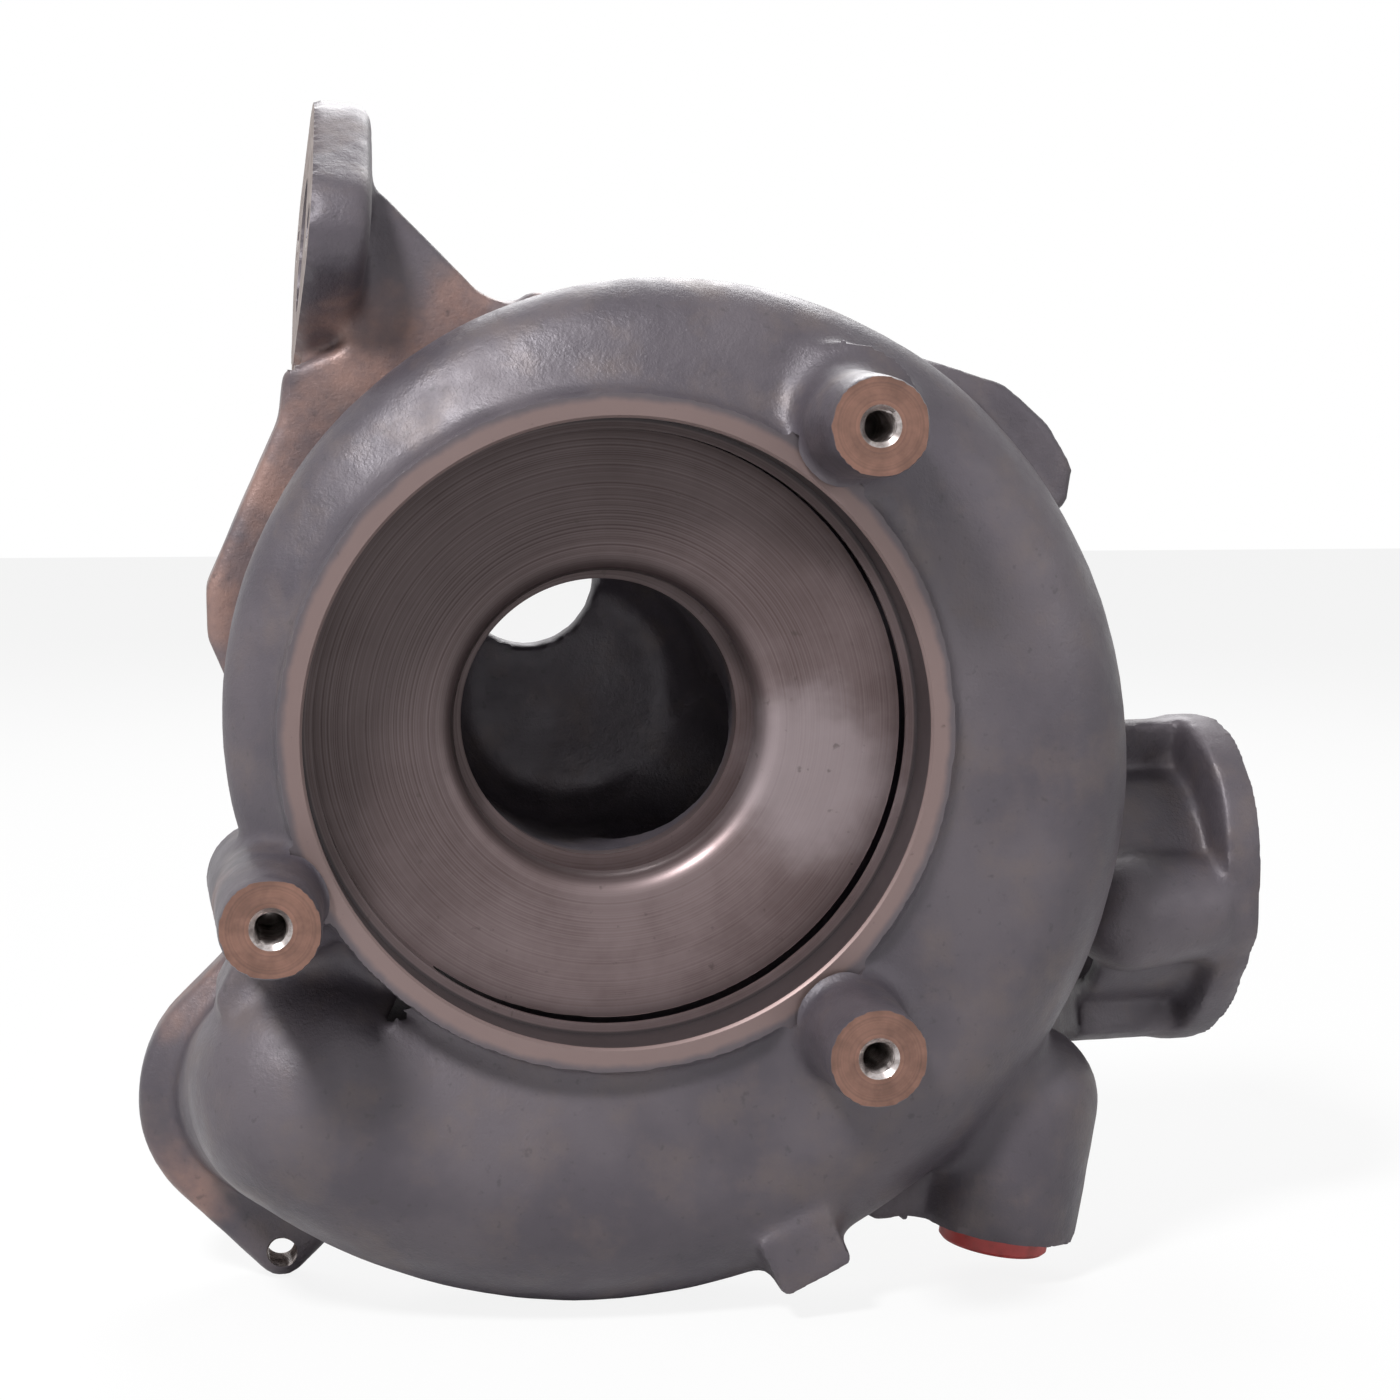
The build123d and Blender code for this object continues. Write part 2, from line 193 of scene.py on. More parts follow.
def block(name, centre, normal, width, height, thickness, material):
    """Block that stands on the plane through the centre, on the normal's side."""
    first, second = basis(normal)
    points = []
    for lift in (0, thickness):
        for across, up in ((-1, -1), (1, -1), (1, 1), (-1, 1)):
            points.append(centre + first * across * width / 2 + second * up * height / 2 + normal * lift)
    faces = [(0, 1, 2, 3), (7, 6, 5, 4), (0, 4, 5, 1), (1, 5, 6, 2), (2, 6, 7, 3), (3, 7, 4, 0)]
    obj = new_object(name, points, faces, material)
    outwards(obj)
    return obj


def apply_modifiers(obj):
    """Replace the object's mesh by what its modifiers make of it."""
    bpy.context.view_layer.update()
    graph = bpy.context.evaluated_depsgraph_get()
    mesh = bpy.data.meshes.new_from_object(obj.evaluated_get(graph))
    obj.modifiers.clear()
    obj.data = mesh


# Materials
class Nodes:
    """Short names for the nodes of one material."""

    def __init__(self, name):
        self.material = bpy.data.materials.new(name)
        self.material.use_nodes = True
        self.tree = self.material.node_tree
        self.tree.nodes.clear()
        output = self.tree.nodes.new("ShaderNodeOutputMaterial")
        self.shader = self.tree.nodes.new("ShaderNodeBsdfPrincipled")
        self.tree.links.new(self.shader.outputs[0], output.inputs[0])
        self.place = self.tree.nodes.new("ShaderNodeTexCoord").outputs["Object"]

    def feed(self, socket, value):
        """Link a socket to the input, or set the input to a value."""
        if hasattr(value, "links"):
            self.tree.links.new(value, socket)
        else:
            socket.default_value = value

    def opaque(self, colour):
        """A socket as it is, or a colour with its alpha."""
        return colour if hasattr(colour, "links") else (*colour, 1.0)

    def math(self, operation, first, second):
        """One sum on two values."""
        node = self.tree.nodes.new("ShaderNodeMath")
        node.operation = operation
        self.feed(node.inputs[0], first)
        self.feed(node.inputs[1], second)
        return node.outputs[0]

    def noise(self, size, detail=3.0, rough=0.55, place=None):
        """Noise whose features are about this large, in metres."""
        node = self.tree.nodes.new("ShaderNodeTexNoise")
        self.feed(node.inputs["Vector"], place or self.place)
        node.inputs["Scale"].default_value = 1.0 / size
        node.inputs["Detail"].default_value = detail
        node.inputs["Roughness"].default_value = rough
        return node.outputs["Fac"]

    def spread(self, value, low, high, to_low=0.0, to_high=1.0):
        """Carry the range from low to high smoothly over to another range."""
        node = self.tree.nodes.new("ShaderNodeMapRange")
        node.interpolation_type = "SMOOTHSTEP"
        self.feed(node.inputs["Value"], value)
        node.inputs["From Min"].default_value = low
        node.inputs["From Max"].default_value = high
        node.inputs["To Min"].default_value = to_low
        node.inputs["To Max"].default_value = to_high
        return node.outputs["Result"]

    def mix(self, share, first, second):
        """Blend from the first colour to the second by the share."""
        node = self.tree.nodes.new("ShaderNodeMix")
        node.data_type = "RGBA"
        self.feed(node.inputs["Factor"], share)
        self.feed(node.inputs["A"], self.opaque(first))
        self.feed(node.inputs["B"], self.opaque(second))
        return node.outputs["Result"]

    def distance(self, centre):
        """Distance from the centre."""
        node = self.tree.nodes.new("ShaderNodeVectorMath")
        node.operation = "DISTANCE"
        self.feed(node.inputs[0], self.place)
        node.inputs[1].default_value = tuple(centre)
        return node.outputs["Value"]

    def near(self, centre, radius, soft):
        """1 near the centre, fading to 0 past the radius, with a ragged edge."""
        ragged = self.math("MULTIPLY", self.math("SUBTRACT", self.noise(9 * mm), 0.5), soft)
        away = self.math("ADD", self.distance(centre), ragged)
        return self.spread(away, radius - soft, radius, 1.0, 0.0)

    def axis_radius(self):
        """Distance from the pump axis, and the separate coordinates."""
        parts = self.tree.nodes.new("ShaderNodeSeparateXYZ")
        self.feed(parts.inputs[0], self.place)
        squares = []
        for axis in ("X", "Z"):
            size = self.math("ABSOLUTE", parts.outputs[axis], 0.0)
            squares.append(self.math("POWER", size, 2.0))
        return self.math("SQRT", self.math("ADD", *squares), 0.0), parts.outputs

    def rings(self, radius, width):
        """Noise that changes only with the radius, as a lathe tool leaves it."""
        joined = self.tree.nodes.new("ShaderNodeCombineXYZ")
        self.feed(joined.inputs[0], radius)
        return self.noise(width, detail=2.0, place=joined.outputs[0])

    def bump(self, height, strength, depth, below=None):
        """Normal that follows the height, on top of the normal below."""
        node = self.tree.nodes.new("ShaderNodeBump")
        node.inputs["Strength"].default_value = strength
        node.inputs["Distance"].default_value = depth
        self.feed(node.inputs["Height"], height)
        if below is not None:
            self.feed(node.inputs["Normal"], below)
        return node.outputs["Normal"]

    def finish(self, colour, roughness, normal, metallic=0.0):
        """Set the shader and hand over the material."""
        self.feed(self.shader.inputs["Base Color"], self.opaque(colour))
        self.feed(self.shader.inputs["Roughness"], roughness)
        self.feed(self.shader.inputs["Normal"], normal)
        self.shader.inputs["Metallic"].default_value = metallic
        self.shader.inputs["Specular IOR Level"].default_value = 0.5
        return self.material


def cast_iron():
    """Sand cast iron: dark purple grey, lumpy and grainy, with brown rust in patches."""
    dark, light = (0.070, 0.060, 0.073), (0.105, 0.090, 0.103)
    warm, rust, soot = (0.135, 0.105, 0.098), (0.270, 0.165, 0.140), (0.045, 0.040, 0.044)
    rust_places = [
        ((-84, 42, 28), 21, 14), ((-74, 42, 60), 22, 16), ((-54, 40, 84), 20, 14), ((-30, 38, 93), 17, 12),
        ((-8, 38, 98), 12, 9), ((-66, 60, 86), 16, 12), ((-88, 40, -8), 14, 10), ((-84, 0, -40), 15, 9),
        ((-100, 64, -60), 20, 14), ((-98, 64, -112), 18, 14), ((-66, 66, 130), 12, 10),
    ]
    n = Nodes("cast_iron")
    broad = n.noise(45 * mm, 4.0)
    patchy = n.noise(14 * mm, 5.0, 0.6)
    colour = n.mix(n.spread(broad, 0.35, 0.65), dark, light)
    colour = n.mix(n.spread(patchy, 0.45, 0.75, 0.0, 0.5), colour, warm)
    for centre, radius, soft in rust_places:
        share = n.near([value * mm for value in centre], radius * mm, soft * mm)
        share = n.math("MULTIPLY", share, n.spread(patchy, 0.35, 0.62, 0.30, 0.85))
        colour = n.mix(share, colour, rust)
    specks = n.spread(n.noise(2.2 * mm, 2.0), 0.62, 0.78, 0.0, 0.45)
    colour = n.mix(specks, colour, soot)
    grain = n.noise(0.75 * mm, 3.0, 0.7)
    lumps = n.noise(4.5 * mm, 3.0)
    normal = n.bump(lumps, 0.5, 0.45 * mm)
    normal = n.bump(grain, 0.55, 0.22 * mm, normal)
    roughness = n.spread(n.noise(11 * mm, 4.0), 0.3, 0.7, 0.38, 0.54)
    return n.finish(colour, roughness, normal, metallic=0.25)


def turned_iron():
    """Turned iron, stained brown, with tool rings, a painted highlight fan, and painted shade at the upper
    left and bore wall.
    """
    dark, light, painted_shade = (0.098, 0.064, 0.064), (0.165, 0.120, 0.122), (0.028, 0.017, 0.017)
    ridge_tone, painted_highlight_tone = (0.300, 0.255, 0.255), (0.380, 0.320, 0.335)
    painted_wall_shade, face_tone = (0.052, 0.045, 0.048), (0.215, 0.155, 0.148)
    rim_tone, mark_tone = (0.115, 0.098, 0.108), (0.060, 0.045, 0.042)
    painted_highlight_centre = (46 * mm, 22 * mm, -12 * mm)
    n = Nodes("turned_iron")
    radius, parts = n.axis_radius()
    stains = n.noise(30 * mm, 5.0, 0.6)
    colour = n.mix(n.spread(stains, 0.32, 0.68), dark, light)
    # Painted shade: darker towards the upper left, standing in for the shadow of the bore's upper wall.
    across = n.math("SUBTRACT", parts["X"], n.math("MULTIPLY", parts["Z"], 1.1))
    colour = n.mix(n.spread(across, -80 * mm, 75 * mm, 0.80, 0.0), colour, painted_shade)
    tool = n.rings(radius, 0.45 * mm)
    colour = n.mix(n.spread(tool, 0.3, 0.7, 0.0, 0.22), colour, ridge_tone)
    # Painted highlight: a pale fan on the right of the disc stands in for the sheen of the turned face.
    painted_highlight = n.near(painted_highlight_centre, 26 * mm, 15 * mm)
    colour = n.mix(n.math("MULTIPLY", painted_highlight, 0.50), colour, painted_highlight_tone)
    # Painted shade: the bore wall is coloured dark, standing in for its shadow.
    at_bore = n.spread(radius, bore_radius - 1.0 * mm, bore_radius - 0.4 * mm)
    wall = n.math("MULTIPLY", at_bore, n.spread(parts["Y"], 0.6 * mm, 1.6 * mm))
    colour = n.mix(n.math("MULTIPLY", wall, 0.85), colour, painted_wall_shade)
    face = n.spread(parts["Y"], 1.4 * mm, 0.6 * mm)
    colour = n.mix(n.math("MULTIPLY", face, 0.9), colour, face_tone)
    ragged = n.math("ADD", radius, n.math("MULTIPLY", n.math("SUBTRACT", n.noise(6 * mm), 0.5), 2.0 * mm))
    colour = n.mix(n.spread(ragged, rim_radius - 2.4 * mm, rim_radius - 0.6 * mm), colour, rim_tone)
    marks = n.spread(n.noise(3.2 * mm, 3.0), 0.66, 0.76, 0.0, 0.5)
    colour = n.mix(marks, colour, mark_tone)
    normal = n.bump(tool, 0.35, 0.05 * mm)
    normal = n.bump(n.noise(0.6 * mm), 0.12, 0.08 * mm, normal)
    roughness = n.spread(stains, 0.3, 0.7, 0.46, 0.36)
    return n.finish(colour, roughness, normal, metallic=0.6)


def faced_iron(name, rust, centres):
    """Milled faces of bosses and flanges, browned by rust, with tool circles round each centre."""
    groove, lighter = (0.050, 0.034, 0.030), 1.55
    n = Nodes(name)
    nearest = n.distance(centres[0])
    for centre in centres[1:]:
        nearest = n.math("MINIMUM", nearest, n.distance(centre))
    tool = n.rings(nearest, 0.5 * mm)
    stains = n.noise(5 * mm, 4.0, 0.6)
    colour = n.mix(n.spread(stains, 0.3, 0.7), rust, [value * lighter for value in rust])
    colour = n.mix(n.spread(tool, 0.35, 0.7, 0.0, 0.35), colour, groove)
    normal = n.bump(tool, 0.5, 0.08 * mm)
    normal = n.bump(n.noise(0.7 * mm), 0.3, 0.12 * mm, normal)
    return n.finish(colour, n.spread(stains, 0.3, 0.7, 0.58, 0.42), normal, metallic=0.35)


def thread_iron():
    """Bright cut iron of the threads."""
    dull, bright = (0.30, 0.26, 0.25), (0.52, 0.48, 0.47)
    n = Nodes("thread_iron")
    stains = n.noise(2.5 * mm, 3.0)
    colour = n.mix(n.spread(stains, 0.35, 0.65), dull, bright)
    return n.finish(colour, 0.27, n.bump(n.noise(0.5 * mm), 0.2, 0.06 * mm), metallic=0.95)


def red_plastic():
    """Red moulded plastic of the shipping plug, a little dirty."""
    clean, dirty = (0.47, 0.055, 0.052), (0.30, 0.045, 0.042)
    n = Nodes("red_plastic")
    dirt = n.noise(5 * mm, 4.0)
    colour = n.mix(n.spread(dirt, 0.4, 0.75), clean, dirty)
    normal = n.bump(n.noise(0.9 * mm), 0.25, 0.10 * mm)
    return n.finish(colour, n.spread(dirt, 0.3, 0.7, 0.38, 0.55), normal)


boss_rust = (0.150, 0.078, 0.058)
flange_rust = (0.170, 0.130, 0.118)
iron = cast_iron()
turned_finish = turned_iron()
boss_finish = faced_iron("boss_face", boss_rust, [boss_place(turn) for turn in boss_turns])
flange_finish = faced_iron("flange_face", flange_rust, [outlet, neck_face, branch_face, port_face])
thread_finish = thread_iron()
plug_finish = red_plastic()


# Blank: the casting's own solid with its holes filled
def tapped_holes():
    """Place, direction and depth of each tapped hole."""
    holes = [(boss_place(turn), backwards, boss_hole_depth) for turn in boss_turns]
    half_outlet = upwards * outlet_hole_reach
    holes += [(outlet + half_outlet * side, -backwards, flange_hole_depth) for side in (1, -1)]
    sideways = branch_normal.cross(upwards)
    for turn in branch_screw_turns:
        across = upwards * cos(radians(turn)) + sideways * sin(radians(turn))
        holes.append((branch_face + across * branch_screw_circle, -branch_normal, flange_hole_depth))
    return holes


def hole_filler(number, place, inwards, depth):
    """Plug for a drilled hole, so that the smoothing doesn't round its mouth."""
    start = 0.3 * mm
    radius = 5.2 * mm
    profile = [(0, start), (radius, start), (radius, depth - 4 * mm), (0, depth - 3 * mm)]
    return turned("filler_%d" % number, place, inwards, profile, iron, sides=32)


def chamber_filler():
    """Plug for the chamber that reaches a little into its walls, so that the cutter alone shapes them."""
    into_wall = 1.0 * mm
    rim_edge = rim_radius + 0.2 * mm
    disc_edge = disc_radius - 1.5 * mm
    profile = [(0, -stock), (rim_edge, -stock), (rim_edge, 3 * mm),
               (bore_radius + into_wall, 4 * mm), (bore_radius + into_wall, register_depth - 0.5 * mm),
               (disc_edge, register_depth), (disc_edge, disc_face + 2 * mm),
               (eye_radius + eye_lip, disc_face + 3 * mm), (eye_radius + into_wall, disc_face + 8 * mm),
               (eye_radius + into_wall, ring_end + into_wall), (0, ring_end + into_wall)]
    return turned("filler_chamber", pump_centre, backwards, profile, iron, sides=round_sides)


def dome_filler():
    """Domed screw boss on the suction barrel."""
    angles = [radians(15 * step) for step in range(7)]
    profile = [(dome_radius * sin(angle), -dome_radius * cos(angle)) for angle in angles]
    profile += [(dome_radius * dome_root, dome_length), (0, dome_length)]
    return turned("filler_dome", dome_centre, branch_normal, profile, iron, sides=48)


def plain_copy(node, name):
    """Copy of a CAD node's mesh as an object of its own."""
    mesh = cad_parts[node].data.copy()
    mesh.transform(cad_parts[node].matrix_world)
    mesh.materials.clear()
    mesh.materials.append(iron)
    obj = bpy.data.objects.new(name, mesh)
    bpy.context.scene.collection.objects.link(obj)
    return obj


def remeshed_blank(holes):
    """The casting with its holes and chamber filled, joined into one even mesh."""
    blank = plain_copy("volute_casing", "casting_skin")
    fillers = [hole_filler(number, *hole) for number, hole in enumerate(holes)]
    fillers.append(chamber_filler())
    fillers.append(dome_filler())
    with bpy.context.temp_override(active_object=blank, selected_editable_objects=[blank, *fillers]):
        bpy.ops.object.join()
    remesh = blank.modifiers.new("remesh", "REMESH")
    remesh.mode = "VOXEL"
    remesh.voxel_size = voxel
    apply_modifiers(blank)
    return blank


# Cast surface: fillets, waviness and stock for machining
def mesh_arrays(mesh):
    """Points, edges and four-cornered faces of the mesh, as arrays."""
    points = np.empty(len(mesh.vertices) * 3)
    mesh.vertices.foreach_get("co", points)
    edges = np.empty(len(mesh.edges) * 2, int)
    mesh.edges.foreach_get("vertices", edges)
    faces = np.empty(len(mesh.loops), int)
    mesh.loops.foreach_get("vertex_index", faces)
    return points.reshape(-1, 3), edges.reshape(-1, 2), faces.reshape(-1, 4)


def vertex_normals(points, faces):
    """Normal at each point, from the faces that meet there."""
    corners = points[faces]
    across = np.cross(corners[:, 2] - corners[:, 0], corners[:, 3] - corners[:, 1])
    summed = np.zeros_like(points)
    for corner in range(4):
        for axis in range(3):
            summed[:, axis] += np.bincount(faces[:, corner], across[:, axis], len(points))
    return summed / np.maximum(np.linalg.norm(summed, axis=1, keepdims=True), 1e-12)


def neighbour_sum(points, edges):
    """For each point, the sum of the points at the other ends of its edges."""
    summed = np.zeros_like(points)
    for axis in range(3):
        summed[:, axis] += np.bincount(edges[:, 0], points[edges[:, 1], axis], len(points))
        summed[:, axis] += np.bincount(edges[:, 1], points[edges[:, 0], axis], len(points))
    return summed


def away_from(points, place, reach):
    """Distance of each point from the place, in reaches. Place and reach are in millimetres."""
    return np.linalg.norm(points - np.array(place) * mm, axis=1) / (reach * mm)


def fillet_and_round(points, faces, edges, count):
    """Smooth the mesh: hollows fill freely, edges give way only a little."""
    free = np.full(len(points), hollow_share)
    for place, reach in sharp_places:
        away = away_from(points, place, reach)
        free = np.minimum(free, np.clip(sharp_share + 2.0 * (away - 0.8), sharp_share, hollow_share))
    free = free[:, None]
    for turn in range(round((fillet / voxel) ** 2)):
        pull = neighbour_sum(points, edges) / count - points
        outward = (pull * vertex_normals(points, faces)).sum(1, keepdims=True)
        edge_share = early_edge_share if turn < edge_rounds else late_edge_share
        points += pull * np.where(outward > 0, free, edge_share)


def widen_fillets(points, faces, edges, count):
    """Fill the hollows further near the places where the casting flows together."""
    turns_per_normal = 8
    edge_part = 0.1
    for place, reach, size in broad_fillets:
        zone = np.clip(2.0 - 2.0 * away_from(points, place, reach), 0, 1)
        inside = zone > 0
        local = edges[inside[edges[:, 0]] | inside[edges[:, 1]]]
        weight = (zone * hollow_share)[:, None]
        for turn in range(round((size * mm / voxel) ** 2)):
            summed = neighbour_sum(points, local)
            if turn % turns_per_normal == 0:
                normals = vertex_normals(points, faces)
            pull = np.where(inside[:, None], summed / count - points, 0.0)
            outward = (pull * normals).sum(1, keepdims=True)
            points += np.where(outward > 0, pull * weight, pull * weight * edge_part)


def make_uneven(points, normals):
    """Slight waviness of a sand mould."""
    broad_height, broad_waves = 0.22 * mm, 55.0
    fine_height, fine_waves = 0.07 * mm, 210.0
    lift = np.empty(len(points))
    for index, point in enumerate(points):
        broad = noise.noise(Vector(point) * broad_waves)
        fine = noise.noise(Vector(point) * fine_waves)
        lift[index] = broad_height * broad + fine_height * fine
    points += normals * lift[:, None]


def add_stock(points):
    """Leave metal on each machined surface, for the cutters to take off."""
    boss_reach, boss_band = 13 * mm, 1.6 * mm
    flange_reach, port_reach, flange_band = 50 * mm, 24 * mm, 0.8 * mm
    disc_band, disc_stock = 1.2 * mm, 0.5 * mm
    radius = np.hypot(points[:, 0], points[:, 2])
    depth = points[:, 1]
    for centre in [boss_place(turn) for turn in boss_turns]:
        away = np.hypot(points[:, 0] - centre.x, points[:, 2] - centre.z)
        top = (away < boss_reach) & (np.abs(depth + boss_height) < boss_band)
        points[top, 1] -= stock
    disc_edge = (np.abs(radius - disc_radius) < disc_band) & (depth > register_depth)
    points[disc_edge & (depth < disc_face + disc_stock), 1] -= disc_stock
    for centre, normal, reach in ((outlet, backwards, flange_reach), (neck_face, neck_normal, flange_reach),
                                  (branch_face, branch_normal, flange_reach),
                                  (port_face, port_normal, port_reach)):
        offset = points - np.array(centre)
        height = offset @ np.array(normal)
        away = np.linalg.norm(offset - height[:, None] * np.array(normal), axis=1)
        flat = (np.abs(height) < flange_band) & (away < reach)
        points[flat] += np.array(normal) * stock


def cast_surface(obj):
    """Turn the remeshed blank into a casting that has not been machined yet."""
    points, edges, faces = mesh_arrays(obj.data)
    count = np.maximum(np.bincount(edges.ravel(), minlength=len(points)), 1)[:, None]
    fillet_and_round(points, faces, edges, count)
    widen_fillets(points, faces, edges, count)
    make_uneven(points, vertex_normals(points, faces))
    add_stock(points)
    obj.data.vertices.foreach_set("co", points.ravel())
    obj.data.update()
    thinner = obj.modifiers.new("thinner", "DECIMATE")
    thinner.ratio = min(1.0, skin_triangles / (2.0 * len(obj.data.polygons)))
    apply_modifiers(obj)


# Cutters: what the machine shop takes off
def neck_hole_cutters():
    """Plain drilled holes of the neck's flange, bevelled at the mouth."""
    bevel = 0.8 * mm
    profile = [(0, -above_face), (neck_hole_radius + bevel, -above_face), (neck_hole_radius + bevel, 0),
               (neck_hole_radius, bevel), (neck_hole_radius, flange_hole_depth), (0, flange_hole_depth)]
    half_neck = backwards * neck_hole_reach
    cutters = []
    for number, side in enumerate((1, -1)):
        name = "cut_neck_hole_%d" % number
        place = neck_face + half_neck * side
        cutters.append(turned(name, place, -neck_normal, profile, thread_finish, sides=48))
    return cutters


def chamber_cutter():
    """Bore, register, disc, rounded eye, recess and ring, turned in one."""
    start = 3 * mm
    bevel = 1.0 * mm
    bevel_start, bevel_end = -0.4 * mm, 0.6 * mm
    run_out = 4 * mm
    lip_steps = 8
    lip_radius, lip_depth = eye_radius + eye_lip, disc_face + eye_lip
    angles = [radians(90 * index / lip_steps) for index in range(lip_steps + 1)]
    lip = [(lip_radius - eye_lip * sin(angle), lip_depth - eye_lip * cos(angle)) for angle in angles]
    profile = [(0, -start), (bore_radius + bevel, -start), (bore_radius + bevel, bevel_start),
               (bore_radius, bevel_end), (bore_radius, register_depth), (disc_radius, register_depth),
               (disc_radius, disc_face), *lip, (eye_radius, recess_start), (recess_radius, recess_start),
               (recess_radius, ring_start), (ring_radius, ring_start), (ring_radius, ring_end),
               (suction_radius, ring_end + 0.6 * mm), (suction_radius, ring_end + run_out),
               (0, ring_end + run_out)]
    return turned("cut_chamber", pump_centre, backwards, profile, turned_finish, sides=round_sides)


def rim_cutter():
    """Flat cut over the rim's face."""
    reach = rim_radius + 1.2 * mm
    profile = [(0, -above_face), (reach, -above_face), (reach, 0), (0, 0)]
    return turned("cut_rim", pump_centre, backwards, profile, turned_finish, sides=round_sides)


def boss_cutters():
    """Spot facing of the three bosses."""
    radius = 15 * mm
    height = 3 * mm
    profile = [(0, 0), (radius, 0), (radius, height), (0, height)]
    places = [boss_place(turn) for turn in boss_turns]
    return [turned("cut_boss_%d" % number, place, -backwards, profile, boss_finish, sides=64)
            for number, place in enumerate(places)]


def flange_cutters():
    """Milled faces of the flanges and the port. Widths and heights are in millimetres."""
    flat_faces = [("outlet", outlet, backwards, 72, 96), ("neck", neck_face, neck_normal, 104, 64),
                  ("branch", branch_face, branch_normal, 110, 110), ("port", port_face, port_normal, 46, 46)]
    return [block("cut_" + name, centre, normal, width * mm, height * mm, block_thickness, flange_finish)
            for name, centre, normal, width, height in flat_faces]


def tapped_cutter(name, face_centre, inwards, depth):
    """Cutter for a tapped hole: bevelled mouth, a helical thread and a drill point."""
    bevel = 0.9 * mm
    bevel_start = -0.3 * mm
    drill_point = 0.6
    steep, flat_root = 1.25, 0.12
    flank = thread_major - core_drill
    step = thread_pitch / 4
    profile = [(0, -above_face), (thread_major + bevel, -above_face), (thread_major + bevel, bevel_start)]
    rows = int((depth - bevel) / step)
    profile += [(core_drill, bevel + step * row) for row in range(rows)]
    profile += [(core_drill, depth), (0, depth + core_drill * drill_point)]

    def thread(angle, along):
        """How far the thread is cut at this angle and depth."""
        if along < bevel * 0.5 or along > depth - thread_pitch:
            return 0.0
        share = (along / thread_pitch - angle / (2 * pi)) % 1.0
        ridge = 1 - abs(2 * share - 1)
        return flank * min(1.0, max(0.0, steep * ridge - flat_root))

    return turned(name, face_centre, inwards, profile, thread_finish, sides=32, wave=thread)


def machine(obj, cutters):
    """Cut the object by each cutter in turn, and give the cut faces the cutter's material."""
    for cutter in cutters:
        cut = obj.modifiers.new(cutter.name, "BOOLEAN")
        cut.operation = "DIFFERENCE"
        cut.solver = "MANIFOLD"
        cut.material_mode = "TRANSFER"
        cut.object = cutter
    apply_modifiers(obj)
    for cutter in cutters:
        bpy.data.objects.remove(cutter)


def shade(obj, angle):
    """Smooth shading, with sharp edges at this angle and wherever a machined face ends."""
    mesh = obj.data
    mesh.polygons.foreach_set("use_smooth", [True] * len(mesh.polygons))
    mesh.set_sharp_from_angle(angle=radians(angle))
    shape = bmesh.new()
    shape.from_mesh(mesh)
    for edge in shape.edges:
        if len({face.material_index for face in edge.link_faces}) > 1:
            edge.smooth = False
    shape.to_mesh(mesh)
    shape.free()


holes = tapped_holes()
skin = remeshed_blank(holes)
cast_surface(skin)
shop = neck_hole_cutters()
shop.append(chamber_cutter())
shop.append(rim_cutter())
shop += boss_cutters()
shop += flange_cutters()
shop += [tapped_cutter("cut_tap_%d" % number, *hole) for number, hole in enumerate(holes)]
machine(skin, shop)
shade(skin, sharp_angle)
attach(skin, "root")
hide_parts("volute_casing")

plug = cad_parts["port_plug"]
plug.data.materials.clear()
plug.data.materials.append(plug_finish)


# Camera, light and floor
def add_camera():
    """Camera at the photograph's viewpoint."""
    data = bpy.data.cameras.new("camera")
    data.lens = 75.83
    data.sensor_width = 36.0
    data.clip_start = 0.01
    obj = bpy.data.objects.new("camera", data)
    obj.location = (-0.089136, -0.639093, 0.078202)
    obj.rotation_euler = (radians(83.8068), radians(-0.1624), radians(-9.4366))
    bpy.context.scene.collection.objects.link(obj)
    bpy.context.scene.camera = obj


def add_lamp(name, place, target, size, power):
    """Round soft lamp at the place, turned to the target."""
    data = bpy.data.lights.new(name, "AREA")
    data.shape = "DISK"
    data.size = size
    data.energy = power
    obj = bpy.data.objects.new(name, data)
    obj.location = place
    obj.rotation_euler = (Vector(target) - Vector(place)).to_track_quat("-Z", "Y").to_euler()
    bpy.context.scene.collection.objects.link(obj)


def plain_node(tree, kind, operation=None):
    """New node of this kind, with its operation where it has one."""
    node = tree.nodes.new(kind)
    if operation:
        node.operation = operation
    return node


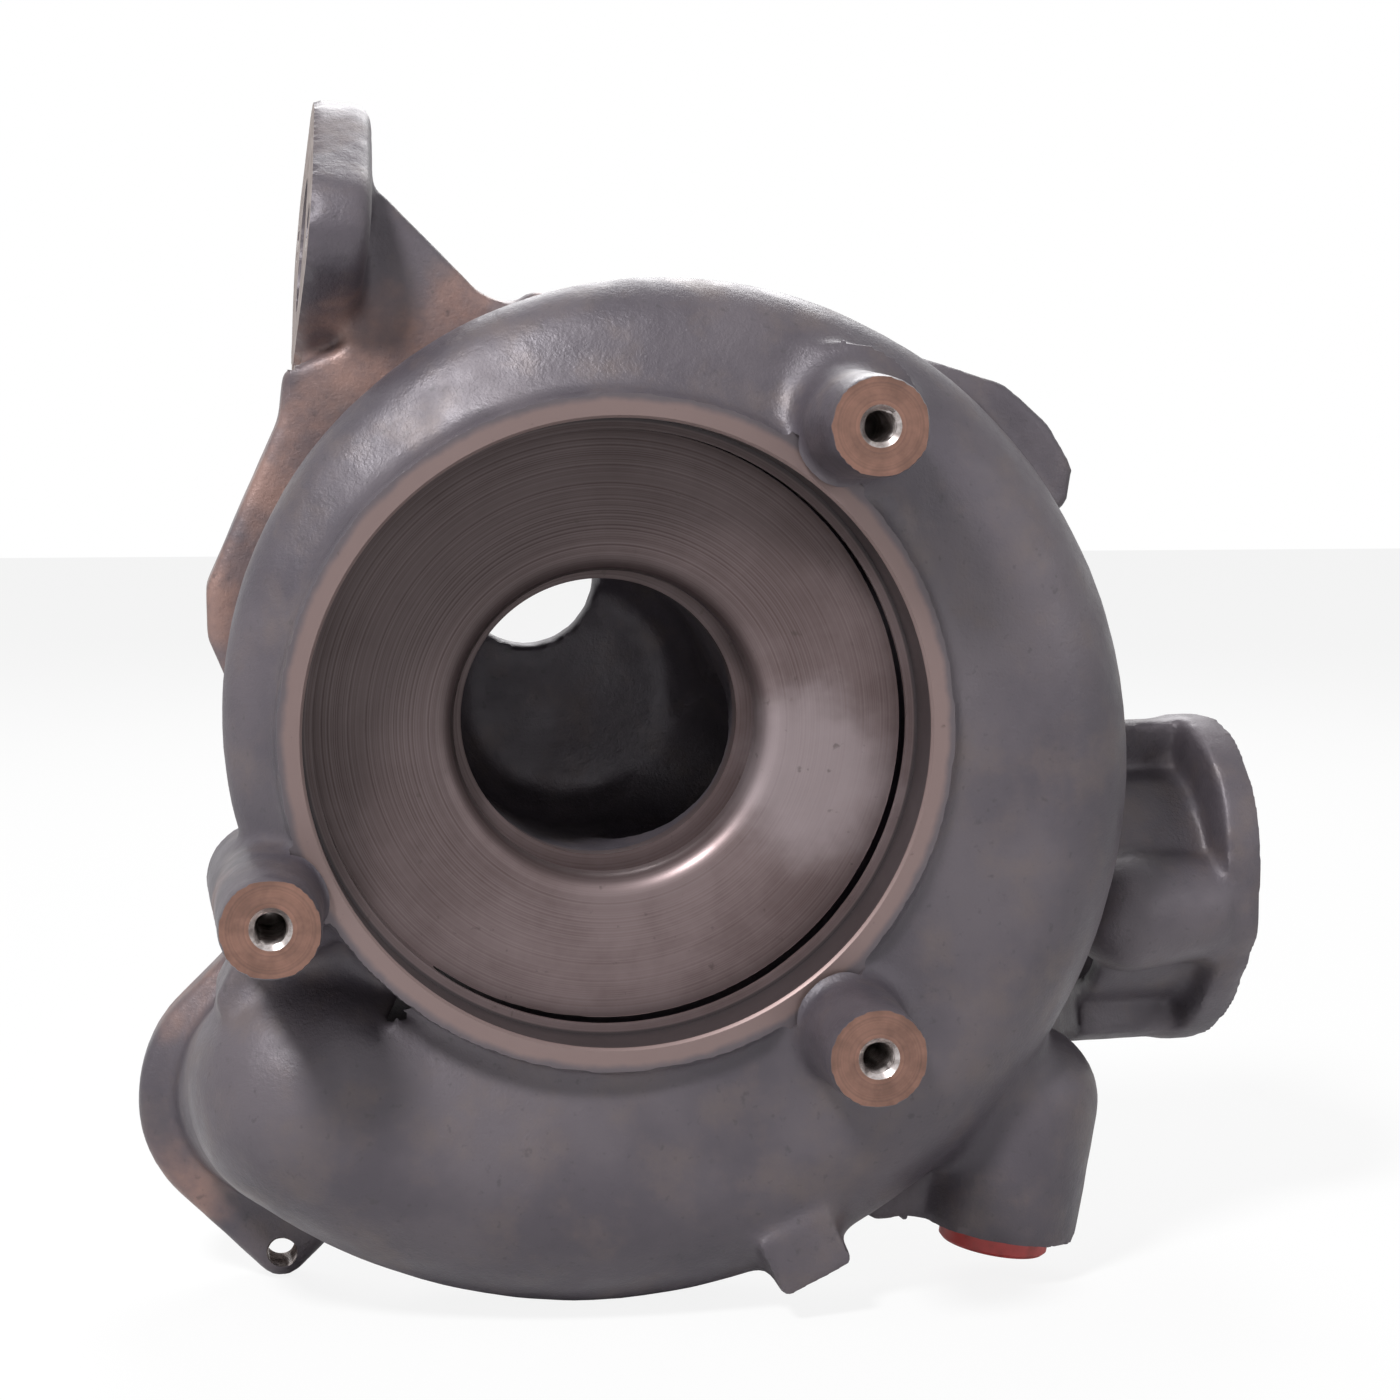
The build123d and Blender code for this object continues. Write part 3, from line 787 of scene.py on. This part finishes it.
def add_world():
    """Dim light from all round, white where it is seen straight, mirrored or through."""
    dim_strength = 0.17
    world = bpy.data.worlds.new("world")
    bpy.context.scene.world = world
    world.use_nodes = True
    tree = world.node_tree
    tree.nodes.clear()
    output = plain_node(tree, "ShaderNodeOutputWorld")
    path = plain_node(tree, "ShaderNodeLightPath")
    mirrored = plain_node(tree, "ShaderNodeMath", "MAXIMUM")
    tree.links.new(path.outputs["Is Glossy Ray"], mirrored.inputs[0])
    tree.links.new(path.outputs["Is Transmission Ray"], mirrored.inputs[1])
    seen = plain_node(tree, "ShaderNodeMath", "MAXIMUM")
    tree.links.new(path.outputs["Is Camera Ray"], seen.inputs[0])
    tree.links.new(mirrored.outputs[0], seen.inputs[1])
    blend = plain_node(tree, "ShaderNodeMixShader")
    tree.links.new(seen.outputs[0], blend.inputs[0])
    for socket, strength in ((1, dim_strength), (2, 1.0)):
        light = plain_node(tree, "ShaderNodeBackground")
        light.inputs["Color"].default_value = (1, 1, 1, 1)
        light.inputs["Strength"].default_value = strength
        tree.links.new(light.outputs[0], blend.inputs[socket])
    tree.links.new(blend.outputs[0], output.inputs[0])


def floor_material():
    """Matt pale floor that is lifted towards white where the camera sees it."""
    pale = 0.86
    glow_share = 0.88
    material = bpy.data.materials.new("floor")
    material.use_nodes = True
    tree = material.node_tree
    tree.nodes.clear()
    output = plain_node(tree, "ShaderNodeOutputMaterial")
    matt = plain_node(tree, "ShaderNodeBsdfDiffuse")
    matt.inputs["Color"].default_value = (pale, pale, pale, 1)
    glow = plain_node(tree, "ShaderNodeEmission")
    path = plain_node(tree, "ShaderNodeLightPath")
    share = plain_node(tree, "ShaderNodeMath", "MULTIPLY")
    share.inputs[1].default_value = glow_share
    tree.links.new(path.outputs["Is Camera Ray"], share.inputs[0])
    blend = plain_node(tree, "ShaderNodeMixShader")
    tree.links.new(share.outputs[0], blend.inputs[0])
    tree.links.new(matt.outputs[0], blend.inputs[1])
    tree.links.new(glow.outputs[0], blend.inputs[2])
    tree.links.new(blend.outputs[0], output.inputs[0])
    return material


add_camera()
add_lamp("key", place=(-0.58, -0.74, 1.00), target=(0, 0, 0), size=0.26, power=22)
add_lamp("fill", place=(0.95, -0.75, 0.35), target=(0, 0, 0), size=0.8, power=2.0)
add_lamp("back", place=(0.2, 1.0, 0.8), target=(0, 0.05, 0), size=0.8, power=9)
add_world()

floor_gap = 0.0004
floor_reach = 3.0
floor_level = cad_box[0][2] - floor_gap
floor_corners = [(-floor_reach, -floor_reach, floor_level), (floor_reach, -floor_reach, floor_level),
                 (floor_reach, floor_reach, floor_level), (-floor_reach, floor_reach, floor_level)]
floor = new_object("floor", floor_corners, [(0, 1, 2, 3)], floor_material())

bpy.context.scene.view_settings.view_transform = "Standard"
